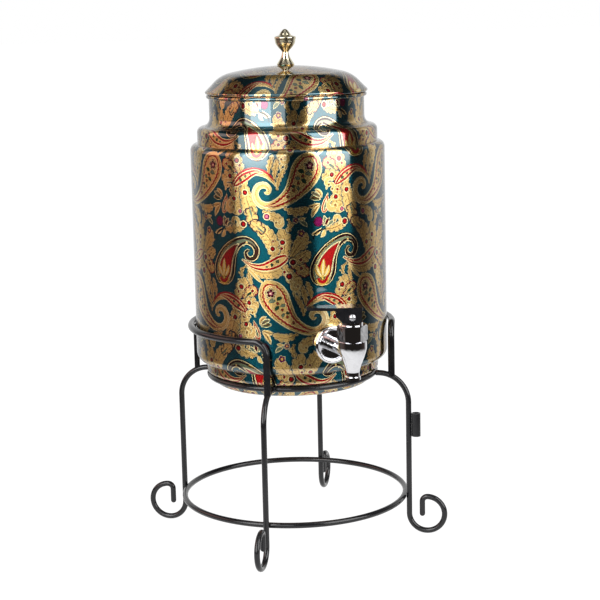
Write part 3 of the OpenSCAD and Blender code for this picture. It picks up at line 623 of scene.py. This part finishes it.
def straighten(points, borders):
    """The same lines with fewer points: those where lines meet or end, or where one bends by SLACK."""
    near = [[] for _ in points]
    for a, b in borders.tolist():
        near[a].append(b)
        near[b].append(a)
    knots = [i for i, q in enumerate(near) if len(q) != 2]
    loose = set(range(len(points))) - set(knots)
    done, out = set(), []

    def follow(a, b):
        path = [a, b]
        while path[-1] in loose and path[-1] != a:
            loose.discard(path[-1])
            p, q = near[path[-1]]
            path.append(q if p == path[-2] else p)
        done.add((path[-1], path[-2]))
        kept = [path[i] for i in np.nonzero(bends(points[path]))[0]]
        out.extend(zip(kept[:-1], kept[1:]))

    for a in knots:
        for b in near[a]:
            if (a, b) not in done:
                follow(a, b)
    while loose:
        a = min(loose)
        loose.discard(a)
        follow(a, near[a][0])
    return np.array(out, int)


def topmost(points, shapes):
    """For each point, the index of the last shape drawn over it, or -1."""
    top = np.full(len(points), -1)
    order = np.argsort(points[:, 1], kind="stable")
    ys = points[order, 1]
    for k, (poly, _) in enumerate(shapes):
        lo, hi = poly.min(0), poly.max(0)
        i0, i1 = np.searchsorted(ys, [lo[1], hi[1]])
        near = order[i0:i1]
        near = near[(points[near, 0] > lo[0]) & (points[near, 0] < hi[0])]
        if not len(near):
            continue
        px, py = points[near, 0][:, None], points[near, 1][:, None]
        a, b = poly, np.roll(poly, -1, 0)
        up = (a[:, 1] <= py) & (b[:, 1] > py)
        down = (a[:, 1] > py) & (b[:, 1] <= py)
        left = (b[:, 0] - a[:, 0]) * (py - a[:, 1]) - (px - a[:, 0]) * (b[:, 1] - a[:, 1])
        wind = (up & (left > 0)).sum(1) - (down & (left < 0)).sum(1)
        top[near[wind != 0]] = k
    return top


def triangulate(points, edges):
    """Triangles over the points that keep every edge."""
    v, _, f, *_ = delaunay_2d_cdt([Vector((float(x), float(y))) for x, y in points],
                                  [tuple(map(int, q)) for q in edges], [], 0, 1e-5, False)
    return np.array([tuple(q) for q in v], float), np.array([q for q in f if len(q) == 3], int)


def cut(shapes, frame_points, frame_edges, inside):
    """Triangles of the drawing with the ink of each; only the lines between two inks are kept."""
    pts, eds, n = [frame_points], [frame_edges], len(frame_points)
    for poly, _ in shapes:
        m = len(poly)
        pts.append(poly)
        eds.append(np.stack([np.arange(m), (np.arange(m) + 1) % m], 1) + n)
        n += m
    ink = np.array([INKS.index(i) for _, i in shapes] + [INKS.index("teal")])  # the last is the ground

    def coloured(points, edges):
        v, f = triangulate(points, edges)
        mid = v[f].mean(1)
        seen = inside(mid)
        return v, f[seen], ink[topmost(mid[seen], shapes)]

    v, f, tone = coloured(np.vstack(pts), np.vstack(eds))
    side = np.sort(np.vstack([f[:, [0, 1]], f[:, [1, 2]], f[:, [2, 0]]]), 1)
    shade = np.tile(tone, 3)
    order = np.lexsort((side[:, 1], side[:, 0]))
    side, shade = side[order], shade[order]
    same = (side[1:] == side[:-1]).all(1)
    border = side[:-1][same & (shade[1:] != shade[:-1])]
    used, back = np.unique(straighten(v, border), return_inverse=True)
    border = back.reshape(-1, 2) + len(frame_points)
    return coloured(np.vstack([frame_points, v[used]]), np.vstack([frame_edges, border]))


def grid_frame(x0, x1, rows, columns, fill):
    """Rows of points across a strip, joined along each row and up both sides, with loose points between."""
    xs = np.linspace(x0, x1, columns + 1)
    pts = [(x, y) for y in rows for x in xs]
    w = columns + 1
    eds = [(j * w + i, j * w + i + 1) for j in range(len(rows)) for i in range(columns)]
    for i in (0, columns):
        eds += [(j * w + i, (j + 1) * w + i) for j in range(len(rows) - 1)]
    for a, b in zip(rows[:-1], rows[1:]):
        n = int((b - a) // fill)
        for j, y in enumerate(np.linspace(a, b, n + 2)[1:-1]):
            pts += [(x, y) for x in (xs[1:-1] if j % 2 else xs[:-1] + (x1 - x0) / columns / 2)]
    return np.array(pts, float), np.array(eds, int)


# ---- surfaces: triangles as (corners in metres, normals, map, ink, slot)
COLUMNS = 144  # steps round the plain surfaces and the lid
WELD = 2e-6  # metres within which corners become one point


def turned(run, s, az):
    """Corners and normals of triangles on an outline turned about the axis; az is the object's azimuth."""
    p = run.point(s.reshape(-1), np.repeat(s.mean(1), 3)).reshape(*s.shape, 4)
    ca, sa = np.cos(az), np.sin(az)
    co = np.stack([p[..., 0] * sa, -p[..., 0] * ca, p[..., 1]], 2) * MM
    no = np.stack([p[..., 2] * sa, -p[..., 2] * ca, p[..., 3]], 2)
    return co, no


def printed(run, s, az, uv, tone):
    """The print's triangles on an outline turned about the axis."""
    return (*turned(run, s, az), uv, tone, np.zeros(len(s), int))


def bare(run, start, uv_low, uv_high):
    """A plain copper outline turned about the axis from an azimuth, and its band of the map."""
    stops = run.stops(12.0, 12.0)
    turns = np.linspace(0, 2 * np.pi, COLUMNS + 1)
    out = []
    for a, b in zip(stops[:-1], stops[1:]):
        for c, d in zip(turns[:-1], turns[1:]):
            out += [(a, c), (a, d), (b, d), (a, c), (b, d), (b, c)]
    s, az = np.array(out).reshape(-1, 3, 2).transpose(2, 0, 1)
    co, no = turned(run, s, az)
    v = (s - stops[0]) / (stops[-1] - stops[0])
    uv = np.stack([az / (2 * np.pi), uv_low + (uv_high - uv_low) * v], 2)
    spin = np.array(Matrix.Rotation(start, 3, "Z"))
    return co @ spin.T, no @ spin.T, uv, np.full(len(co), INKS.index("gold")), np.ones(len(co), int)


def linear(hexa):
    c = [int(hexa[i:i + 2], 16) / 255 for i in (1, 3, 5)]
    return [x / 12.92 if x <= 0.04045 else ((x + 0.055) / 1.055) ** 2.4 for x in c]


def shell(name, surfaces):
    """One welded mesh of surfaces, with its own normals, map and ink; its faces look the way their normals do."""
    co, no, uv, tone, slot = [np.concatenate(q) for q in zip(*surfaces)]
    face = np.cross(co[:, 1] - co[:, 0], co[:, 2] - co[:, 0])
    flip = (face * no.mean(1)).sum(1) < 0
    for q in (co, no, uv):
        q[flip] = q[flip][:, ::-1]
    flat = co.reshape(-1, 3)
    key = np.round(flat / WELD).astype(np.int64)
    _, first, back = np.unique(key, axis=0, return_index=True, return_inverse=True)
    faces = back.reshape(-1, 3)
    ok = np.zeros(len(faces), bool)
    ok[np.unique(np.sort(faces, 1), axis=0, return_index=True)[1]] = True
    ok &= (faces != np.roll(faces, 1, 1)).all(1)
    faces, no, uv, tone, slot = faces[ok], no[ok], uv[ok], tone[ok], slot[ok]
    me = bpy.data.meshes.new(name)
    me.from_pydata(flat[first].tolist(), [], faces.tolist())
    me.polygons.foreach_set("material_index", slot.astype(np.int32))
    me.polygons.foreach_set("use_smooth", np.ones(len(faces), bool))
    me.uv_layers.new(name="OFBake").data.foreach_set("uv", uv.reshape(-1).astype(np.float32))
    table = np.array([linear(INK[i]) + [1.0] for i in INKS])
    col = me.color_attributes.new("ink", "FLOAT_COLOR", "CORNER")
    col.data.foreach_set("color", np.repeat(table[tone], 3, 0).reshape(-1).astype(np.float32))
    for slot_name in ("printed_copper", "bare_copper"):
        me.materials.append(look[slot_name])
    me.normals_split_custom_set(no.reshape(-1, 3).tolist())
    me.update()
    return put(name, me)


# ---- materials
def feed(nt, sock, v):
    """Sets a socket to a constant, or links it to another socket."""
    if isinstance(v, bpy.types.NodeSocket):
        nt.links.new(v, sock)
    else:
        sock.default_value = (*v, 1) if sock.type == "RGBA" else v


def node(nt, kind, **values):
    """A shader node with its settings and inputs; _ stands for the space in an input's name."""
    n = nt.nodes.new("ShaderNode" + kind)
    for k, v in values.items():
        if hasattr(n, k):
            setattr(n, k, v)
        else:
            feed(nt, n.inputs[k.replace("_", " ")], v)
    return n


def tree(owner):
    owner.use_nodes = True
    owner.node_tree.nodes.clear()
    return owner.node_tree


def material(name, base, metallic, roughness, **fixed):
    m = bpy.data.materials.new(name)
    nt = tree(m)
    b = node(nt, "BsdfPrincipled", Base_Color=base, Metallic=metallic, Roughness=roughness, **fixed)
    node(nt, "OutputMaterial", Surface=b.outputs[0])
    return m, nt, b


def noise(nt, scale, detail=3.0, rough=0.5, stretch=None, distort=0.0):
    """Fractal noise over the object's own coordinates, in cycles per metre."""
    at = (nt.nodes.get("place") or node(nt, "TexCoord", name="place")).outputs["Object"]
    if stretch:
        at = node(nt, "Mapping", Vector=at, Scale=stretch).outputs["Vector"]
    n = node(nt, "TexNoise", Vector=at, Scale=scale, Detail=detail, Roughness=rough, Distortion=distort)
    return n.outputs["Fac"]


def spread(nt, value, low, high, a=0.3, b=0.7):
    """A value between a and b as one between low and high."""
    return node(nt, "MapRange", Value=value, From_Min=a, From_Max=b, To_Min=low, To_Max=high).outputs["Result"]


def blend(nt, fac, one, two, mode="MIX"):
    m = node(nt, "Mix", data_type="RGBA", blend_type=mode)
    for k, v in ((0, fac), (6, one), (7, two)):
        feed(nt, m.inputs[k], v)
    return m.outputs[2]


def maths(nt, op, a, b):
    m = node(nt, "Math", operation=op)
    for sock, v in zip(m.inputs, (a, b)):
        feed(nt, sock, v)
    return m.outputs[0]


def surface(nt, b, tone, rough, height, strength, depth, bumped=("Normal",)):
    """Links the shader's colour, its roughness and its relief."""
    feed(nt, b.inputs["Base Color"], tone)
    feed(nt, b.inputs["Roughness"], rough)
    relief = node(nt, "Bump", Height=height, Strength=strength, Distance=depth)
    for name in bumped:
        feed(nt, b.inputs[name], relief.outputs[0])


def make_print(name):
    """Spun copper with a metallic print under clear lacquer; the spinning marks run round the axis."""
    m, nt, b = material(name, (0.3, 0.2, 0.1), 0.975, 0.24, Coat_Weight=1.0, Coat_Roughness=0.06, Coat_IOR=1.9,
                        Anisotropic=0.93, Anisotropic_Rotation=0.25, Specular_Tint=(0.12, 0.12, 0.12))
    ink = node(nt, "Attribute", attribute_name="ink").outputs["Color"]
    fine = noise(nt, 900, 2)
    grain = blend(nt, spread(nt, fine, 0.0, 0.15), ink, (0.10, 0.06, 0.03), "MULTIPLY")
    tone = blend(nt, spread(nt, noise(nt, 34, 3), 0.0, 0.22), grain, (0.75, 0.55, 0.38), "OVERLAY")
    wave = maths(nt, "ADD", noise(nt, 9, 1, 0.4, (1, 1, 0.35)), maths(nt, "MULTIPLY", fine, 0.004))
    surface(nt, b, tone, spread(nt, fine, 0.22, 0.26), wave, 0.25, 0.0022, ("Normal", "Coat Normal"))
    feed(nt, b.inputs["Tangent"], node(nt, "Tangent", direction_type="RADIAL", axis="Z").outputs[0])
    return m


def make_copper(name):
    """Satin copper with fine marks round it."""
    m, nt, b = material(name, (0.74, 0.43, 0.28), 1.0, 0.3)
    broad = noise(nt, 22, 4, 0.6, distort=0.6)
    marks = noise(nt, 60, 2, 0.5, (1, 1, 14))
    tone = blend(nt, spread(nt, broad, 0, 1), (0.80, 0.46, 0.29), (0.62, 0.33, 0.20))
    tone = blend(nt, spread(nt, marks, 0.0, 0.25), tone, (0.45, 0.22, 0.13))
    surface(nt, b, tone, spread(nt, broad, 0.24, 0.42), marks, 0.12, 0.0004)
    return m


def finish(name, base, metallic, roughness, tones, rough, patches, relief, strength, depth, **fixed):
    """Colour and roughness that wander together with one noise, over the relief of another."""
    m, nt, b = material(name, base, metallic, roughness, **fixed)
    mask = noise(nt, **patches)
    tone = blend(nt, spread(nt, mask, 0, 1), *tones)
    surface(nt, b, tone, spread(nt, mask, *rough), noise(nt, **relief), strength, depth)
    return m


def make_chrome(name):
    """Mirror plate with faint smears, over a slightly uneven casting."""
    return finish(name, (0.86, 0.86, 0.88), 1.0, 0.05, ((0.88, 0.88, 0.90), (0.78, 0.78, 0.80)), (0.035, 0.09),
                  dict(scale=120, detail=4, rough=0.6, distort=1.2), dict(scale=130, detail=2, distort=0.8),
                  0.12, 0.0016)


def make_steel(name):
    """Drawn steel, with marks along it."""
    drawn = dict(scale=400, rough=0.6, stretch=(1, 1, 0.15))
    return finish(name, (0.62, 0.62, 0.64), 1.0, 0.28, ((0.66, 0.66, 0.68), (0.50, 0.50, 0.52)), (0.2, 0.36),
                  drawn, drawn, 0.1, 0.0002)


def make_brass(name, base, rough):
    """Turned brass: fine rings about the axis under a polish."""
    return finish(name, base, 1.0, 0.2, (base, [c * 0.78 for c in base]), rough,
                  dict(scale=90, detail=4, rough=0.6, distort=0.8), dict(scale=700, detail=2, stretch=(0.02, 0.02, 1)),
                  0.12, 0.0002)


def make_black(name, roughness, pale, *rest):
    """Glossy black, with dust or scuffs over its orange peel."""
    return finish(name, (0.006, 0.006, 0.007), 0.0, roughness, ((0.004, 0.004, 0.005), pale), *rest,
                  Specular_IOR_Level=0.4, Coat_Weight=0.2, Coat_Roughness=0.08)


def make_rubber(name, base, rough):
    grain = dict(scale=800, rough=0.6)
    return finish(name, base, 0.0, 0.6, (base, [c * 0.7 for c in base]), rough, grain, grain, 0.2, 0.0002)


look = {name: make(name, *rest) for name, make, *rest in (
    ("printed_copper", make_print),
    ("bare_copper", make_copper),
    ("chrome", make_chrome),
    ("steel", make_steel),
    ("knob_brass", make_brass, (0.86, 0.78, 0.56), (0.16, 0.26)),
    ("brass", make_brass, (0.80, 0.63, 0.33), (0.24, 0.38)),
    ("black_coat", make_black, 0.18, (0.010, 0.010, 0.011), (0.13, 0.22),
     dict(scale=45, detail=4, rough=0.6), dict(scale=520, detail=2), 0.10, 0.0004),
    ("lever_black", make_black, 0.15, (0.011, 0.011, 0.012), (0.10, 0.19),
     dict(scale=70, detail=5, rough=0.65, distort=1.5), dict(scale=260, rough=0.6), 0.05, 0.0003),
    ("seal_rubber", make_rubber, (0.03, 0.03, 0.03), (0.5, 0.7)),
    ("silicone", make_rubber, (0.85, 0.84, 0.80), (0.35, 0.5)),
)}
for sub in frame["record"]["subparts"]:
    ob = nodes[sub["node"]]
    ob.data.materials.clear()
    ob.data.materials.append(look[sub["material_slot"]])


# ---- the printed pot
STRIP_X = -30.0  # where the first repeat starts
TOP_ROW = 300.0  # height of a row's middle
MARGIN = 0.5  # how far the drawing keeps from an outline's ends
PRINT_V, INSIDE_V, UNDER_V = 0.60, (0.62, 0.90), (0.92, 1.0)  # the map's bands


def make_pot():
    run = pot_outside()
    low, high = run.ends[0], run.ends[-1]
    right = STRIP_X + PITCH
    drawn = []
    for poly, ink in place(TILE, (STRIP_X, low, right, high), TOP_ROW):
        poly[:, 1] = np.clip(poly[:, 1], low + MARGIN, high - MARGIN)
        drawn.append((thin(poly), ink))

    def inside(c):
        return (c[:, 0] > STRIP_X) & (c[:, 0] < right) & (c[:, 1] > low) & (c[:, 1] < high)

    pts, eds = grid_frame(STRIP_X, right, run.stops(15.0), 24, 9.0)
    v, f, tone = cut(drawn, pts, eds, inside)
    x, s = v[f][:, :, 0], v[f][:, :, 1]
    surfaces = []
    for k in range(REPEATS):
        uv = np.stack([(x - STRIP_X + k * PITCH) / (REPEATS * PITCH), PRINT_V * (s - low) / (high - low)], 2)
        surfaces.append(printed(run, s, (x + k * PITCH) / POT_R + VIEW, uv, tone))
    start = STRIP_X / POT_R + VIEW
    underside = Outline(lines((0, FLOOR_LOW), (FLOOR_R, FLOOR_LOW)))
    surfaces += [bare(pot_inside(), start, *INSIDE_V), bare(underside, start, *UNDER_V)]
    ob = shell("pot_shell", surfaces)
    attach(ob, "pot")
    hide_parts("pot_floor", "pot_foot", "pot_seat", "pot_body", "pot_shoulder", "pot_neck")


make_pot()


# ---- the printed lid
BEAD, BEAD_R = (69.2, 395.192), 1.6  # the rolled edge
CROWN_R, CROWN_UP = 220.0, 21.7  # the flat top, and its height over the bead's middle
BROW_R, SLOPE = 28.0, 50  # the round at its edge, and the side's slope in degrees
SIDE_OUT = 0.94  # how far outside the bead's middle the side's line passes
TUCK = (BEAD[0] - 1.7, BEAD[1] + 1.2)  # where the rolled edge meets the inside
BEAD_ENDS = math.degrees(math.atan2(0.6, 1.48)), -150
LID_DROP = -120.0  # the height of the drawing that is at the lid's middle
DISC_AT, DISC_R, UNDERSIDE_V = 0.36, 0.35, (0.74, 1.0)  # the map: the print's disc, and the inside's band


def lid_outlines():
    """The lid from its middle out and round the bead, and from there back in under it."""
    slope = math.radians(SLOPE)
    out = math.sin(slope), math.cos(slope)
    crown_z, span = BEAD[1] + CROWN_UP - CROWN_R, CROWN_R - BROW_R
    run = BEAD[0] + SIDE_OUT - BROW_R * out[0] - (crown_z + BROW_R * out[1] - BEAD[1]) * out[1] / out[0]
    turn = slope - math.acos(run * out[0] / span)
    brow = span * math.sin(turn), crown_z + span * math.cos(turn)
    lean = 90 - math.degrees(turn)

    def dome(thick):
        """The dome's two arcs, and the point where its side starts."""
        r = BROW_R - thick
        arcs = [arc((0, crown_z), CROWN_R - thick, 90, lean), arc(brow, r, lean, 90 - SLOPE)]
        return arcs, (brow[0] + r * out[0], brow[1] + r * out[1])

    def on_bead(angle):
        a = math.radians(angle)
        return BEAD[0] + BEAD_R * math.cos(a), BEAD[1] + BEAD_R * math.sin(a)

    outer, side = dome(0)
    top = Outline([*outer, *lines(side, on_bead(BEAD_ENDS[0])), arc(BEAD, BEAD_R, *BEAD_ENDS)])
    inner, side = dome(SHEET)
    back = [arc(c, r, a1, a0) for _, c, r, a0, a1 in inner[::-1]]
    return top, Outline(lines(on_bead(BEAD_ENDS[1]), TUCK, side) + back)


def disc_frame(rows, fill):
    """Rings of points about a middle: joined ones at rows, and loose ones every fill inside the first."""
    pts, eds = [(0.0, 0.0)], []
    a = np.linspace(0, 2 * np.pi, COLUMNS, endpoint=False)
    for r in np.concatenate([np.arange(8, rows[0] - 3, fill), rows]):
        n = len(pts)
        pts += list(zip(r * np.sin(a), -r * np.cos(a)))
        if r >= rows[0] - 1e-6:
            eds += [(n + i, n + (i + 1) % COLUMNS) for i in range(COLUMNS)]
    return np.array(pts), np.array(eds)


def make_lid():
    top, under = lid_outlines()
    edge = top.ends[-1]
    drawn = []
    for poly, ink in place(TILE, (-edge, LID_DROP - edge, edge, LID_DROP + edge), 0.0):
        q = poly - (0.0, LID_DROP)
        q *= np.minimum(1, (edge - MARGIN) / np.maximum(np.hypot(*q.T), 1e-6))[:, None]
        if np.ptp(np.hypot(*q.T)) > 1e-6:
            drawn.append((thin(q), ink))

    def inside(c):
        return np.hypot(*c.T) < edge * math.cos(math.pi / COLUMNS)

    v, f, tone = cut(drawn, *disc_frame(top.stops(12.0)[1:], 9.0), inside)
    w = v[f]
    s = np.hypot(w[:, :, 0], w[:, :, 1])
    az = np.arctan2(w[:, :, 0], -w[:, :, 1]) + VIEW
    uv = DISC_AT + DISC_R * w / edge
    ob = shell("lid_dome", [printed(top, s, az, uv, tone), bare(under, VIEW, *UNDERSIDE_V)])
    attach(ob, "lid")
    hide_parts("lid_shell")


make_lid()


# ---- the tap's spring, copied into an object with a mesh of its own; on the real tap it shortens as the stem rises
def make_spring():
    coil = nodes["tap_spring"]
    ob = put("closing_spring", coil.data.copy())
    ob.matrix_world = coil.matrix_world.copy()
    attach(ob, "pot")
    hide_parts("tap_spring")
    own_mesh(ob)


make_spring()


# ---- studio
# what a mirror sees: white paper behind the pot and a dark warm room in front and at the sides,
# as (azimuth from the camera's side in degrees, level, share of green)
ROOM = ((-180, 0.85, 1), (-138, 0.85, 1), (-124, 0.30, 1), (-110, 0.10, 0.8), (-66, 0.06, 0.7), (-50, 0.016, 0.85),
        (60, 0.016, 0.85), (98, 0.05, 0.7), (112, 0.30, 1), (124, 0.85, 1), (180, 0.85, 1))
UPPER_WALL, CEILING = (0.03, 0.027, 0.025), (0.5, 0.5, 0.5)
FLOOR_HALF = 20  # metres
PAPER, WHITE = (0.82, 0.82, 0.82), (1, 1, 1)
SHEET_NEAR, SHEET_FAR = 0.32, 0.58  # the mirrored white sheet under the stand fades out between these


def seen_round(nt, way):
    """What a mirror sees along a direction from the pot."""
    flat = node(nt, "VectorRotate", rotation_type="Z_AXIS", Angle=-VIEW, Vector=way)
    x, y, up = node(nt, "SeparateXYZ", Vector=flat.outputs[0]).outputs
    turn = maths(nt, "ARCTAN2", x, maths(nt, "MULTIPLY", y, -1.0))
    ramp = node(nt, "ValToRGB", Fac=spread(nt, turn, 0.0, 1.0, -math.pi, math.pi))
    stops = ramp.color_ramp.elements
    for az, *_ in ROOM[1:-1]:
        stops.new(az / 360 + 0.5)
    for stop, (_, level, green) in zip(stops, ROOM):
        stop.color = (level, level * green, level * green * (0.9 if green < 1 else 1), 1)
    wall = blend(nt, spread(nt, up, 0.0, 1.0, 0.46, 0.62), ramp.outputs["Color"], UPPER_WALL)
    return blend(nt, spread(nt, up, 0.0, 1.0, 0.88, 0.97), wall, CEILING)


def either(nt, fac, one, two):
    """One shader where fac is 0, the other where it is 1."""
    mix = node(nt, "MixShader")
    for sock, v in zip(mix.inputs, (fac, one.outputs[0], two.outputs[0])):
        feed(nt, sock, v)
    return mix


def floor():
    """White paper with the object's shadow; a mirror sees it as a small sheet in a dim room."""
    h = FLOOR_HALF
    me = bpy.data.meshes.new("floor")
    me.from_pydata([(-h, -h, 0), (h, -h, 0), (h, h, 0), (-h, h, 0)], [], [(0, 1, 2, 3)])
    ob = put("floor", me)
    m = bpy.data.materials.new("floor")
    me.materials.append(m)
    nt = tree(m)
    ray = node(nt, "LightPath").outputs
    here = node(nt, "TexCoord").outputs["Object"]
    paper = node(nt, "BsdfDiffuse", Color=PAPER)
    glow = node(nt, "Emission", Color=WHITE, Strength=1.13)
    far = node(nt, "VectorMath", operation="LENGTH", Vector=here).outputs["Value"]
    sheet = spread(nt, far, 0.92, 0.0, SHEET_NEAR, SHEET_FAR)
    seen = node(nt, "Emission", Color=blend(nt, sheet, seen_round(nt, here), WHITE, "LIGHTEN"), Strength=1.0)
    lit = either(nt, maths(nt, "MULTIPLY", ray["Is Camera Ray"], 0.86), paper, glow)
    node(nt, "OutputMaterial", Surface=either(nt, ray["Is Glossy Ray"], lit, seen).outputs[0])


def softbox(name, az, width, power, out=1.4, low=0.20, high=2.30, tint=WHITE):
    """A flat soft lamp that stands at an azimuth seen from the pot and faces its axis."""
    li = bpy.data.lights.new(name, "AREA")
    li.shape = "RECTANGLE"
    li.size, li.size_y = width, high - low
    li.energy = power
    li.color = tint
    ob = put(name, li)
    a = math.radians(az) + VIEW
    ob.location = (math.sin(a) * out, -math.cos(a) * out, (low + high) / 2)
    ob.rotation_euler = Vector((-math.sin(a), math.cos(a), 0)).to_track_quat("-Z", "Y").to_euler()


def studio():
    floor()
    softbox("left_box", az=-37.5, width=0.74, power=25.5)
    softbox("edge_box", az=-57, width=0.26, power=4.2)
    softbox("side_box", az=-13, width=0.60, power=5.0, out=1.6, high=1.30)
    softbox("right_box", az=52.5, width=1.18, power=33)
    softbox("warm_wall", az=-93, width=1.20, power=4.9, low=0.30, high=1.30, tint=(1.0, 0.60, 0.52))
    scene.world = bpy.data.worlds.new("studio")
    nt = tree(scene.world)
    ray = node(nt, "LightPath").outputs
    mirror = seen_round(nt, node(nt, "TexCoord").outputs["Generated"])
    plain = maths(nt, "ADD", maths(nt, "MULTIPLY", ray["Is Diffuse Ray"], 0.5), ray["Is Camera Ray"])
    bg = node(nt, "Background", Color=blend(nt, ray["Is Glossy Ray"], plain, mirror), Strength=1.0)
    node(nt, "OutputWorld", Surface=bg.outputs[0])
    scene.view_settings.view_transform = "Standard"


studio()
